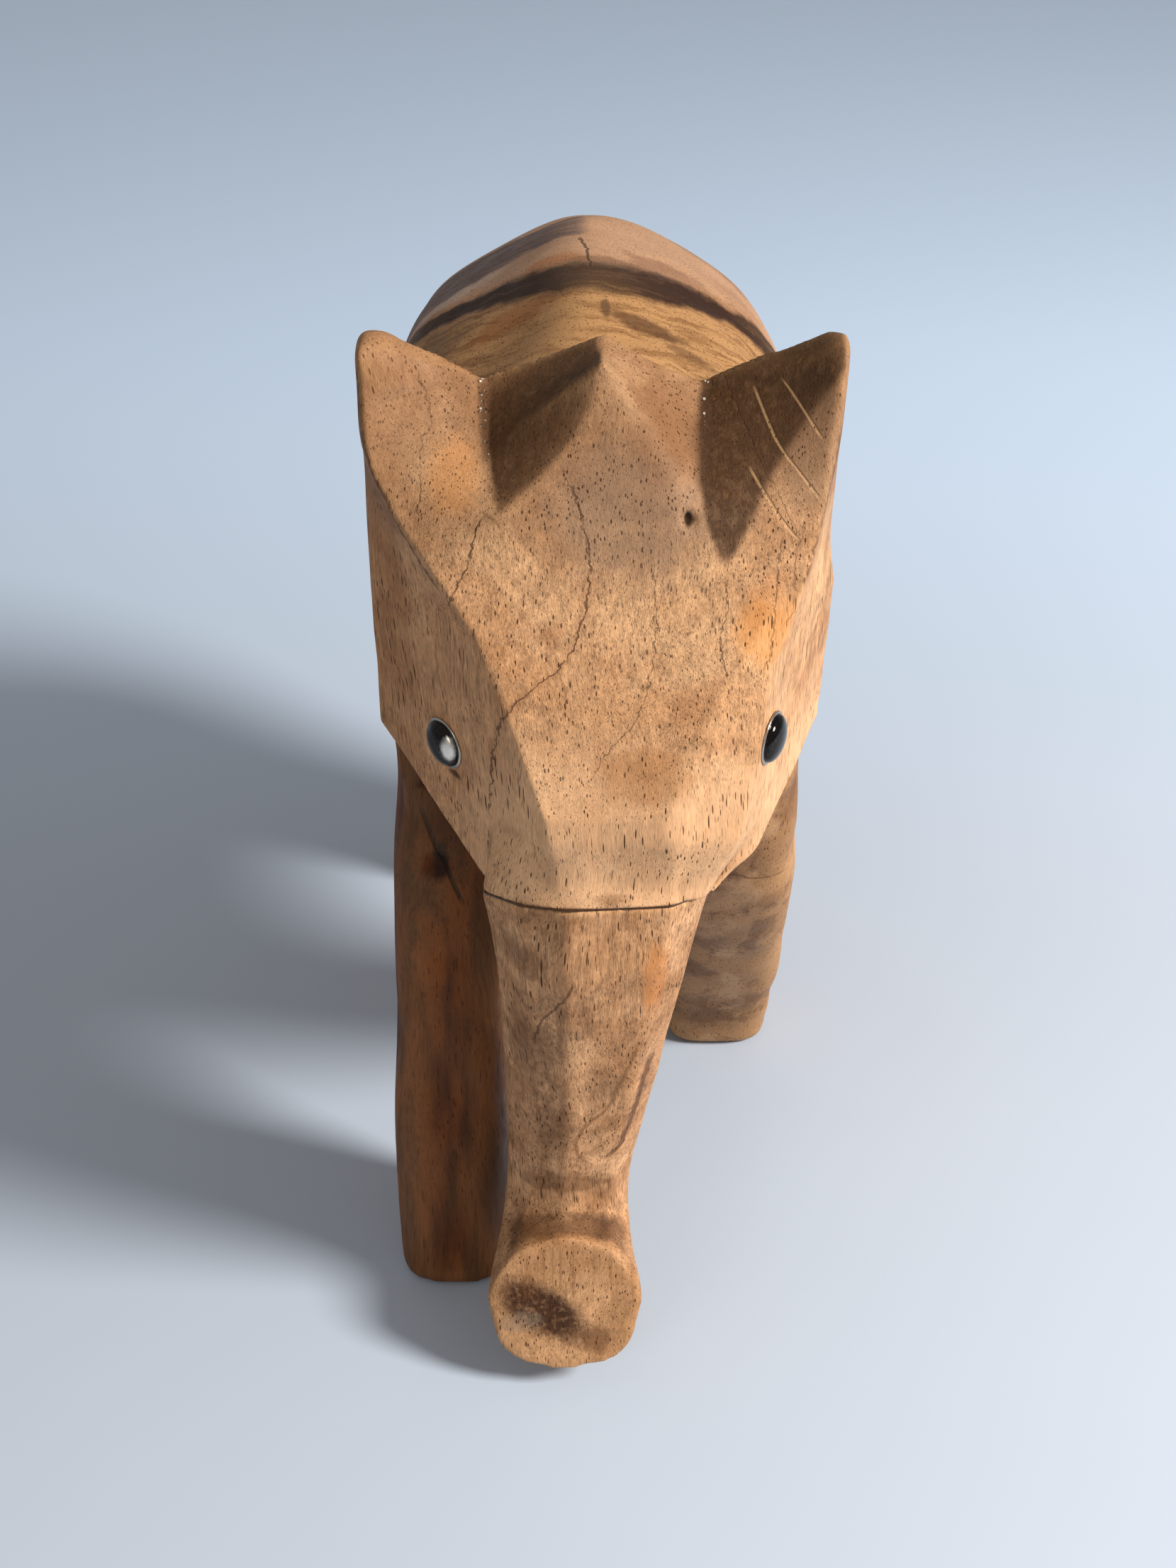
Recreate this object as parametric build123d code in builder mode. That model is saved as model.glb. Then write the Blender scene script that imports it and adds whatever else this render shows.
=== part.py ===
"""A carved wooden elephant, striding, glued up from three blocks of solid wood.

Millimetres, +Z up, the elephant faces -Y. Left and right are as seen from the front: left
is at -X.
The origin is on the ground under the middle of the overall box.
"""
import os

from build123d import *

# --- driving dimensions -------------------------------------------------------------
block_width = 92.0      # torso block across the ribs
ear_reach = (45.0, 47.0)  # left and right outer edge of the ears from the midline
ear_top = 238.0         # ears above the ground
back_top = 236.0        # highest point of the back
belly = 88.0            # underside of the torso above the ground
rump = 190.0            # rearmost point behind the forward toe
toe = -79.5             # the forward toe's place along Y in the part's frame
joint = 18.0            # head joint behind the forward toe
glue_gap = 0.3          # thickness of the dried glue in both joints
dowel_radius = 5.0      # wooden dowels inside the joints
dowel_depth = 20.0      # how far a dowel goes into each block
dowel_play = 0.5        # free room behind each end of a dowel
dowel_chamfer = 1.0
glue_inset = 0.25       # the trunk's glue film stops this far inside the wood
nail_radius = 0.9       # shank of an eye tack
nail_length = 12.0
nail_play = 0.4
cap_radius = 5.5        # rim of an eye tack
dome_radius = 4.9
cap_height = 2.8
rim_height = 0.5

os.makedirs("parts", exist_ok=True)


def place(x, y, z):
    """A point whose Y is counted backward from the forward toe."""
    return Vector(x, toe + y, z)


def through(a, b, c):
    """The plane through three points, each given as (x, y behind the toe, z)."""
    first, second, third = place(*a), place(*b), place(*c)
    across = second - first
    return Plane(origin=first, x_dir=across, z_dir=across.cross(third - first))


def upright(y):
    """A vertical plane across the block, with X to the right and Z up."""
    return Plane(origin=place(0, y, 0), x_dir=(1, 0, 0), z_dir=(0, -1, 0))


def standing_on(plane, point):
    """A plane parallel to the given one, with its origin at the point's foot on it."""
    foot = plane.to_local_coords(point)
    return Plane(plane.from_local_coords((foot.X, foot.Y, 0)), z_dir=plane.z_dir)


# --- the joint between head and trunk -----------------------------------------------
def section_plane(x, y, z, tilt):
    """A plane square to the trunk at its front point; tilt lowers it toward the back."""
    return Plane(place(x, y, z)).rotated((-tilt, 0, 0))


def trunk_outline(middle, ridge, width, depth, corner, full=0):
    """A softly faceted section: X across, Y from the front of the trunk backward. The two
    back corners stand further out the fuller it is."""
    back_x = (0.72 + 0.14 * full) * width
    back_y = (0.84 + 0.05 * full) * depth
    with BuildSketch() as outline:
        with BuildLine():
            Polyline(
                (ridge, 0),
                (middle + 0.64 * width, 0.09 * depth),
                (middle + width, 0.42 * depth),
                (middle + back_x, back_y),
                (middle, depth),
                (middle - back_x, back_y),
                (middle - width, 0.42 * depth),
                (middle - 0.64 * width, 0.11 * depth),
                close=True,
            )
        make_face()
        fillet(outline.vertices(), corner)
    return outline.sketch


# Each row, from the joint down to the cut end: the front point's distance behind the toe
# and height, tilt, then middle, ridge, half width, depth, corner radius and fullness.
trunk_rows = (
    (-29, 137.5, 20, (-0.5, -6.3, 23.5, 32, 4)),
    (-28, 118, 12, (-1.2, -6.4, 20.5, 30, 4)),
    (-24.5, 98, 6, (-2.4, -6.6, 18.6, 27, 4)),
    (-20, 76, 2, (-3.8, -6.8, 16.8, 25, 4)),
    (-16, 55, 4, (-5.6, -7.2, 15, 23.5, 4)),
    (-14.8, 43.5, 16, (-6.7, -7.5, 14.6, 23.5, 4)),
    (-15.5, 40, 50, (-7.2, -7.5, 15.2, 26, 5, 0.3)),
    (-17.5, 39.5, 85, (-7.3, -7.5, 16.8, 31, 7, 0.7)),
    (-20.5, 39.3, 109, (-7.3, -7.5, 17.8, 35.2, 10, 1)),
)
# The head grows out of the same section above the joint and fades into the cheeks.
nose_rows = (
    trunk_rows[0],
    (-22, 168, 24, (-0.5, -6.3, 17, 30, 4)),
)
seam_y, seam_z, seam_tilt, seam_section = trunk_rows[0]
seam = section_plane(0, seam_y, seam_z, seam_tilt)
seam_middle = (-0.5, 15.5)

# --- planes and axes that the blocks share ------------------------------------------
# The two cheek planes run from the lobe of the ear forward to the nose.
cheek_left = through((-45, 7.5, 242.5), (-45, 16, 153), (-18, -20, 178))
cheek_right = through((26.5, -26, 163), (45, 16, 153), (45, 7.5, 238))
# A softer plane between the face and the right cheek.
face_right = through((29, -20, 160), (24.5, -18, 184), (16.3, -28.5, 142))
# Each side of the jaw is pared up from the trunk joint to the lobe of the ear.
jaw_left = through((-44.5, 18, 152), (-16, 18, 126), (-24, -14, 131.5))
jaw_right = through((44.5, 18, 152), (23, -14, 131.5), (16, 18, 126))

neck_dowels = {"neck_dowel_left": (-16, 178), "neck_dowel_right": (16, 178)}
neck = upright(joint)

# --- torso: one block with the back, the shoulders and four striding legs -----------
# Each row: distance behind the toe, half width, top, bottom.
half = block_width / 2
barrel = (
    (joint + glue_gap / 2, 0.92 * half, back_top - 4, belly + 22),
    (40, 0.98 * half, back_top - 1, belly + 8),
    (72, half, back_top, belly),
    (108, 0.98 * half, back_top - 7, belly + 2),
    (142, 0.93 * half, back_top - 24, belly + 4),
    (168, 0.78 * half, back_top - 50, belly + 10),
    (182, 0.56 * half, back_top - 74, belly + 22),
    (rump - 1.5, 0.26 * half, back_top - 96, belly + 40),
)
# Outline of each side from the spine to the belly: share of the half width, share of the
# height below the top. The left shoulder is the fuller one.
right_side = ((0.35, 0.044), (0.76, 0.142), (0.96, 0.3), (1, 0.55), (0.9, 0.86), (0.5, 0.98))
left_side = ((0.37, 0.044), (0.85, 0.142), (0.99, 0.3), (1, 0.55), (0.9, 0.86), (0.5, 0.98))
# Each leg, row by row: height, X and Y of the middle, width, depth.
forward_left_leg = (
    (0, -34.5, 17, 26, 34),
    (30, -34.3, 18.5, 26, 33),
    (85, -32.5, 24, 27, 34),
    (140, -29.5, 39, 27, 40),
)
backward_right_leg = (
    (0, 33.3, 105, 28, 34),
    (25, 34, 95, 28, 36),
    (85, 33, 62, 28, 50),
    (140, 29, 46, 28, 52),
)
forward_right_hind_leg = (
    (0, 32.5, 146, 26, 32),
    (30, 32.5, 148, 26, 31),
    (85, 29, 149, 28, 42),
    (140, 22, 144, 26, 44),
)
backward_left_hind_leg = (
    (0, -33, 170, 26, 32),
    (30, -33, 168, 26, 31),
    (85, -29, 157, 28, 44),
    (140, -22, 146, 26, 44),
)
legs = (forward_left_leg, backward_right_leg, forward_right_hind_leg, backward_left_hind_leg)
leg_corner = 8.0
# The tail, row by row from the root down: height, Y of the middle, width, depth.
tail = (
    (178, rump - 22, 8, 8),
    (160, rump - 11, 9, 9),
    (135, rump - 3.5, 8, 8),
    (110, rump - 3.5, 7, 7),
    (84, rump - 5, 9, 8),
)
tail_corner = 3.0

with BuildPart() as torso:
    for y, width, top, bottom in barrel:
        height = top - bottom
        right_flank = [(x * width, top - drop * height) for x, drop in right_side]
        left_flank = [(-x * width, top - drop * height) for x, drop in reversed(left_side)]
        with BuildSketch(upright(y)):
            with BuildLine():
                Spline((0, top), *right_flank, (0, bottom), *left_flank, periodic=True)
            make_face()
    loft()
    for leg in legs:
        for z, x, y, width, depth in leg:
            with BuildSketch(Plane(place(x, y, z))):
                RectangleRounded(width, depth, leg_corner)
        loft()
    # The tail lies against the rump and hangs to the hocks.
    for z, y, width, depth in tail:
        with BuildSketch(Plane(place(0, y, z))):
            RectangleRounded(width, depth, tail_corner)
    loft()
    # Room for the jaw in front of the joint, above the forward leg.
    with BuildSketch(neck.offset(-glue_gap / 2)):
        with Locations((0, 200)):
            Rectangle(120, 132)
    extrude(amount=60, mode=Mode.SUBTRACT)
    with BuildSketch(neck):
        with Locations(*neck_dowels.values()):
            Circle(dowel_radius)
    extrude(amount=-dowel_depth, mode=Mode.SUBTRACT)
torso.part.label = "torso"
export_step(torso.part, "parts/torso.step")


# --- head: one block with both ears; the cheeks taper to the trunk ------------------
# Side outline of the face and jaw: distance behind the toe, height.
face = (
    (joint - glue_gap / 2, ear_top),
    (5.6, ear_top),
    (-20, 178.5),
    (-27.5, 157.5),
    (seam_y, seam_z),
    (4, 125.5),
    (joint - glue_gap / 2, 136),
)
# Above the eyes each cheek turns outward to the ear. Level by level: height, then X at
# cheek_back and at cheek_front; up to the second level it is the flat cheek plane.
cheek_back = 30.0
cheek_front = -60.0
outside = 90.0
left_cheek = (
    (120, -53.74, 18.55),
    (190, -59.05, 13.24),
    (196.3, -57.4, 6.4),
    (203, -55.1, -1.6),
    (211, -51, -17.2),
    (221, -45.9, -40.3),
    (245, -45.5, -42.2),
)
right_cheek = (
    (120, 49.83, 9.22),
    (185, 52.76, 12.15),
    (197, 49.8, 22.8),
    (204.4, 49.4, 26.4),
    (210.7, 49.2, 28.5),
    (222.5, 48.8, 34.4),
    (245, 47.6, 43.6),
)
# Valleys between the ears and the dome of the head, as triangles from back to front: the
# valley floor, then its far corners above the ear and above the dome (X, Z).
valley_steps = (18.5, 5.0, -8.0)
left_valley = (
    ((-22, 228.5), (-81, 261), (63, 261)),
    ((-20.7, 218.4), (-62, 261), (29.2, 261)),
    ((-19.4, 208.6), (-44, 261), (97, 261)),
)
right_valley = (
    ((20.3, 228.5), (96, 261), (-50.6, 261)),
    ((18.9, 218.4), (71, 261), (-24, 261)),
    ((17.6, 208.6), (47, 261), (-12, 261)),
)
# The front of each ear is scooped back and fades into the face. Level by level: height,
# distance behind the toe at ear_side, then X and distance at the inner end of the scoop.
ear_side = 60.0
scoop_front = -60.0
left_scoop = (
    (188, -17, -29, -17),
    (196.3, -12.1, -27.4, -12.6),
    (203, -0.3, -24, -9.55),
    (208.6, 2.1, -19.4, -7.1),
    (211, 2.8, -19.7, -5),
    (221, -1.7, -21, 8.2),
    (228.7, -1.5, -22, 18),
    (242, -12.6, -38, 19.5),
)
right_scoop = (
    (188, -17, 29, -17),
    (197.1, -9, 26, -12.1),
    (204.4, -3, 20, -8.95),
    (208.6, -1.6, 17.6, -7.1),
    (210.7, -0.7, 17.9, -5.3),
    (217.1, -1, 18.7, 3.1),
    (222.5, -1.6, 19.5, 10.2),
    (228.7, -2.7, 20.3, 18),
    (242, 1, 35, 19.5),
)
# The tacks stand square on the cheeks.
eye_left = standing_on(cheek_left, place(-30.3, -3, 159.5))
eye_right = standing_on(cheek_right, place(32.7, -11, 166))

with BuildPart() as head:
    with BuildSketch(Plane.YZ):
        with BuildLine():
            Polyline(*[(toe + y, z) for y, z in face], close=True)
        make_face()
    extrude(amount=-ear_reach[0])
    extrude(head.faces().sort_by(Axis.X)[-1], amount=ear_reach[1])
    for side, cheek in ((-outside, left_cheek), (outside, right_cheek)):
        for z, back_x, front_x in cheek:
            with BuildSketch(Plane(place(0, 0, z))):
                with BuildLine():
                    Polyline((back_x, cheek_back), (front_x, cheek_front), (side, cheek_front),
                             (side, cheek_back), close=True)
                make_face()
        loft(ruled=True, mode=Mode.SUBTRACT)
    split(bisect_by=face_right, keep=Keep.BOTTOM)
    for y, z, tilt, outline in nose_rows:
        with BuildSketch(section_plane(0, y, z, tilt)):
            add(trunk_outline(*outline))
    loft()
    split(bisect_by=jaw_left, keep=Keep.BOTTOM)
    split(bisect_by=jaw_right, keep=Keep.BOTTOM)
    for valley in (left_valley, right_valley):
        for y, corners in zip(valley_steps, valley):
            with BuildSketch(upright(y)):
                with BuildLine():
                    Polyline(*corners, close=True)
                make_face()
        loft(ruled=True, mode=Mode.SUBTRACT)
    for side, scoop in ((-ear_side, left_scoop), (ear_side, right_scoop)):
        for z, outer, x, inner in scoop:
            with BuildSketch(Plane(place(0, 0, z))):
                with BuildLine():
                    Polyline((side, outer), (x, inner), (x, scoop_front), (side, scoop_front),
                             close=True)
                make_face()
        loft(ruled=True, mode=Mode.SUBTRACT)
    with BuildSketch(neck):
        with Locations(*neck_dowels.values()):
            Circle(dowel_radius)
    extrude(amount=dowel_depth, mode=Mode.SUBTRACT)
    with BuildSketch(seam):
        with Locations(seam_middle):
            Circle(dowel_radius)
    extrude(amount=dowel_depth, mode=Mode.SUBTRACT)
    for eye in (eye_left, eye_right):
        with BuildSketch(eye):
            Circle(nail_radius)
        extrude(amount=-nail_length, mode=Mode.SUBTRACT)
head.part.label = "head"
export_step(head.part, "parts/head.step")

# --- trunk: a third block, glued under the face, curled forward to a flat cut end ---
with BuildPart() as trunk:
    for y, z, tilt, outline in trunk_rows:
        with BuildSketch(section_plane(0, y, z, tilt)):
            add(trunk_outline(*outline))
    loft()
    split(bisect_by=seam.offset(-glue_gap), keep=Keep.BOTTOM)
    with BuildSketch(seam):
        with Locations(seam_middle):
            Circle(dowel_radius)
    extrude(amount=-dowel_depth, mode=Mode.SUBTRACT)
trunk.part.label = "trunk"
export_step(trunk.part, "parts/trunk.step")

# --- dowels -------------------------------------------------------------------------
for name, spot in neck_dowels.items():
    with BuildPart() as neck_dowel:
        with BuildSketch(neck):
            with Locations(spot):
                Circle(dowel_radius)
        extrude(amount=dowel_depth - dowel_play, both=True)
        chamfer(neck_dowel.edges().filter_by(GeomType.CIRCLE), dowel_chamfer)
    neck_dowel.part.label = name
    export_step(neck_dowel.part, f"parts/{name}.step")

with BuildPart() as trunk_dowel:
    with BuildSketch(seam):
        with Locations(seam_middle):
            Circle(dowel_radius)
    extrude(amount=dowel_depth - dowel_play, both=True)
    chamfer(trunk_dowel.edges().filter_by(GeomType.CIRCLE), dowel_chamfer)
trunk_dowel.part.label = "trunk_dowel"
export_step(trunk_dowel.part, "parts/trunk_dowel.step")

# --- dried glue: a thin film in each joint ------------------------------------------
with BuildPart() as neck_glue:
    with BuildSketch(neck.offset(-glue_gap / 2)):
        with Locations((0, 180)):
            RectangleRounded(56, 72, 14)
        with Locations(*neck_dowels.values()):
            Circle(dowel_radius, mode=Mode.SUBTRACT)
    extrude(amount=glue_gap)
neck_glue.part.label = "neck_glue"
export_step(neck_glue.part, "parts/neck_glue.step")

with BuildPart() as trunk_glue:
    with BuildSketch(seam):
        add(trunk_outline(*seam_section))
        offset(amount=-glue_inset)
        with Locations(seam_middle):
            Circle(dowel_radius, mode=Mode.SUBTRACT)
    extrude(amount=-glue_gap)
trunk_glue.part.label = "trunk_glue"
export_step(trunk_glue.part, "parts/trunk_glue.step")

# --- eyes: domed tacks with a thin rim, driven in square to the cheeks --------------
for name, eye in (("left", eye_left), ("right", eye_right)):
    with BuildPart() as cap:
        with BuildSketch(Plane(eye.origin, x_dir=eye.x_dir, z_dir=-eye.y_dir)):
            with BuildLine():
                Polyline((0, cap_height), (0, 0), (cap_radius, 0), (cap_radius, rim_height),
                         (dome_radius, rim_height))
                TangentArc((0, cap_height), (dome_radius, rim_height), tangent=(1, 0))
            make_face()
        revolve(axis=Axis(eye.origin, eye.z_dir))
    cap.part.label = f"eye_{name}"
    export_step(cap.part, f"parts/eye_{name}.step")

    with BuildPart() as nail:
        with BuildSketch(eye):
            Circle(nail_radius)
        extrude(amount=-nail_length + nail_play)
        chamfer(nail.faces().sort_by(Axis(eye.origin, eye.z_dir))[0].edges(), 0.9 * nail_radius,
                0.9 * nail_radius)
    nail.part.label = f"eye_nail_{name}"
    export_step(nail.part, f"parts/eye_nail_{name}.step")
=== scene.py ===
"""The carved wooden elephant, dressed: softened carving, oiled open-pored wood, dried glue
and black-nickel tack eyes. The scene is in metres; shapes and marks are worked in millimetres,
and a mark's Y counts from the forward toe. The elephant faces -Y, and its left, as seen from
the front, is at -X."""
import math

import bpy
import numpy as np
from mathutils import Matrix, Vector


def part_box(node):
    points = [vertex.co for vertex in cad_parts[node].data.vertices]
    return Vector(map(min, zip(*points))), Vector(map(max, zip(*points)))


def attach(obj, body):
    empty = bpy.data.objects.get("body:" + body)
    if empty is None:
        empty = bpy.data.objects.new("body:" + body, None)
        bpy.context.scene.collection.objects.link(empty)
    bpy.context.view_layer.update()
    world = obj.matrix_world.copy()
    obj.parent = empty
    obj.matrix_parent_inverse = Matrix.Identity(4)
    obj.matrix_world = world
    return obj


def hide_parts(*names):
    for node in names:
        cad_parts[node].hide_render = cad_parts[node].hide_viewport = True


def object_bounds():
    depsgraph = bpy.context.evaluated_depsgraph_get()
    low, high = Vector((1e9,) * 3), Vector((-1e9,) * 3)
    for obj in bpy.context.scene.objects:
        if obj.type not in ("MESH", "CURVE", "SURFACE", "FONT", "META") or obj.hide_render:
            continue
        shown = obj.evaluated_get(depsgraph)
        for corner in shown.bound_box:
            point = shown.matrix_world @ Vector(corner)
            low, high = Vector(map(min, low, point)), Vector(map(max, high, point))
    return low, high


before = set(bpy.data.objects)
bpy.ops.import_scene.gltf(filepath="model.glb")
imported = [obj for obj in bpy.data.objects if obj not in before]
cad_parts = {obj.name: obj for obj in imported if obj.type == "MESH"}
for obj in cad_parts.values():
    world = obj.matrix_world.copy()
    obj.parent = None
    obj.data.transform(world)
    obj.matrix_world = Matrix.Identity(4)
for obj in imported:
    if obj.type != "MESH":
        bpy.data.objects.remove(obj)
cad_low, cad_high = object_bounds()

MM = 0.001
SEED = 7
TOE = cad_low.y / MM + 31.86    # the forward toe's Y in millimetres, from the trunk's tip
SEAM_TILT = math.radians(20)    # the joint between head and trunk slopes down to the back,
SEAM_Y = -29                    # from a level line in front of the toe, with this Y
SEAM_Z = 137.5                  # and at this height
HEAD_BACK = 17.9                # the flat back of the head, behind the toe
TORSO_FRONT = 18.15             # the face of the torso that it is glued to
VERTICAL_PIXELS = 2212
FOCAL_PIXELS = 2931             # the lens of the photograph's camera


# --- meshes -------------------------------------------------------------------------
def dense_copy(node, name, cell):
    """A closed copy of a CAD node, cut into even cells that lie on its surface."""
    piece = bpy.data.objects.new(name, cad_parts[node].data.copy())
    bpy.context.scene.collection.objects.link(piece)
    piece.data.materials.clear()
    remesh = piece.modifiers.new("cells", "REMESH")
    remesh.mode = "VOXEL"
    remesh.voxel_size = cell
    wrap = piece.modifiers.new("surface", "SHRINKWRAP")
    wrap.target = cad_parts[node]
    wrap.wrap_method = "NEAREST_SURFACEPOINT"
    bpy.context.view_layer.update()
    graph = bpy.context.evaluated_depsgraph_get()
    piece.data = bpy.data.meshes.new_from_object(piece.evaluated_get(graph))
    piece.modifiers.clear()
    piece.data.name = name
    piece.data.shade_smooth()
    return piece


def read_points(mesh):
    flat = np.empty(len(mesh.vertices) * 3)
    mesh.vertices.foreach_get("co", flat)
    return flat.reshape(-1, 3) / MM


def write_points(mesh, points):
    mesh.vertices.foreach_set("co", (points * MM).ravel())
    mesh.update()


def read_edges(mesh):
    flat = np.empty(len(mesh.edges) * 2, dtype=np.int64)
    mesh.edges.foreach_get("vertices", flat)
    return flat.reshape(-1, 2)


def read_normals(mesh):
    flat = np.empty(len(mesh.vertices) * 3)
    mesh.vertex_normals.foreach_get("vector", flat)
    return flat.reshape(-1, 3)


def relax(points, edges, weight, rounds):
    """Each point moves toward the middle of its neighbours, by its own weight."""
    size = len(points)
    count = np.bincount(edges.ravel(), minlength=size)
    first, second = edges[:, 0], edges[:, 1]
    points = points.copy()
    for _ in range(rounds):
        middle = np.empty_like(points)
        for axis in range(3):
            values = points[:, axis]
            middle[:, axis] = np.bincount(first, values[second], size)
            middle[:, axis] += np.bincount(second, values[first], size)
        middle /= count[:, None]
        points += weight[:, None] * (middle - points)
    return points


def step(value, start, end):
    """A smooth step from 0 at start to 1 at end."""
    share = np.clip((value - start) / (end - start), 0, 1)
    return share * share * (3 - 2 * share)


def ripple(points, seed, longest, shortest, height):
    """Gentle unevenness left by the knife and the sandpaper, as a sum of waves."""
    waves = 28
    random = np.random.default_rng(seed)
    total = np.zeros(len(points))
    for _ in range(waves):
        heading = random.normal(size=3)
        heading /= np.linalg.norm(heading)
        length = random.uniform(shortest, longest)
        total += np.sin(points @ heading * (2 * math.pi / length) + random.uniform(0, 6.3))
    return height * total / math.sqrt(waves)


def dent(points, normals, centre, radius, depth):
    """Presses a round hollow into the surface."""
    away = np.linalg.norm(points - np.array(centre), axis=1) / radius
    return points - normals * (depth * np.exp(-away * away))[:, None]


def keep_inside(points, node):
    """Holds the points within the CAD node's own box."""
    low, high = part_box(node)
    return np.clip(points, np.array(low) / MM, np.array(high) / MM)


def store(mesh, name, values):
    """Keeps one number per point, for the material to read."""
    layer = mesh.attributes.new(name, "FLOAT", "POINT")
    layer.data.foreach_set("value", values.astype(np.float32))


def mark_hollows(mesh, points, edges, rounds):
    """Stores how far each point lies in a hollow (above 0) or on a ridge (below 0)."""
    spread = relax(points, edges, np.full(len(points), 0.8), rounds)
    store(mesh, "hollow", np.einsum("ij,ij->i", spread - points, read_normals(mesh)))


def seam_height(points):
    """How far each point lies above the plane of the joint between head and trunk."""
    forward = points[:, 1] - TOE - SEAM_Y
    return forward * math.sin(SEAM_TILT) + (points[:, 2] - SEAM_Z) * math.cos(SEAM_TILT)


def even_seam(points, edges, rounds):
    """Smooths the edge at the trunk's joint within the plane of the joint."""
    before = seam_height(points)
    weight = 0.5 * (1 - step(np.abs(before), 0.8, 3)) * (1 - step(points[:, 1] - TOE, 6, 12))
    points = relax(points, edges, weight, rounds)
    back = before - seam_height(points)
    points[:, 1] += back * math.sin(SEAM_TILT)
    points[:, 2] += back * math.cos(SEAM_TILT)
    return points


def flush_with_trunk(points):
    """Pares the front of the head down to the trunk's outline where the two are glued. The
    outline lies in the joint's plane, as X and the distance behind the seam's own line."""
    middle, ridge, width, depth = -0.5, -6.3, 23.5, 32.0
    rounding, clearance, deepest = 1.2, 0.2, 6
    corners = np.array(((ridge, 0), (middle + 0.64 * width, 0.09 * depth),
                        (middle + width, 0.42 * depth), (middle + 0.72 * width, 0.84 * depth),
                        (middle - 0.72 * width, 0.84 * depth), (middle - width, 0.42 * depth),
                        (middle - 0.64 * width, 0.11 * depth)))
    level, drop = math.cos(SEAM_TILT), math.sin(SEAM_TILT)
    behind = (points[:, 1] - TOE - SEAM_Y) * level - (points[:, 2] - SEAM_Z) * drop
    spot = np.stack((points[:, 0], behind), 1)
    above = seam_height(points)
    along = np.roll(corners, -1, 0) - corners
    outward = np.stack((along[:, 1], -along[:, 0]), 1)
    outward /= np.linalg.norm(outward, axis=1)[:, None]
    gaps = np.stack([(spot - corner) @ out for corner, out in zip(corners, outward)], 1)
    share = np.exp(gaps / rounding)
    beyond = rounding * np.log(share.sum(1))
    share /= share.sum(1)[:, None]
    heading = share @ outward
    heading /= np.maximum(np.linalg.norm(heading, axis=1), 0.2)[:, None]
    weight = (1 - step(above, 0, 16)) * (1 - step(behind, 10, 17))
    move = -np.clip(beyond + clearance, 0, deepest) * weight
    points = points.copy()
    points[:, 0] += move * heading[:, 0]
    points[:, 1] += move * heading[:, 1] * level
    points[:, 2] -= move * heading[:, 1] * drop
    return points


def finish_wood(piece, node, material):
    """Puts a softened block in the place of its CAD node."""
    piece.data.materials.append(material)
    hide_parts(node)
    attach(piece, "root")


# --- shader graphs ------------------------------------------------------------------
def paint(red, green, blue):
    """A colour given as a screen shows it, 0 to 255, as linear light."""
    linear = [(c / 255 / 12.92) if c < 11 else ((c / 255 + 0.055) / 1.055) ** 2.4
              for c in (red, green, blue)]
    return (*linear, 1.0)


PORE = paint(64, 36, 18)
CRACK = paint(58, 32, 16)


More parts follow.
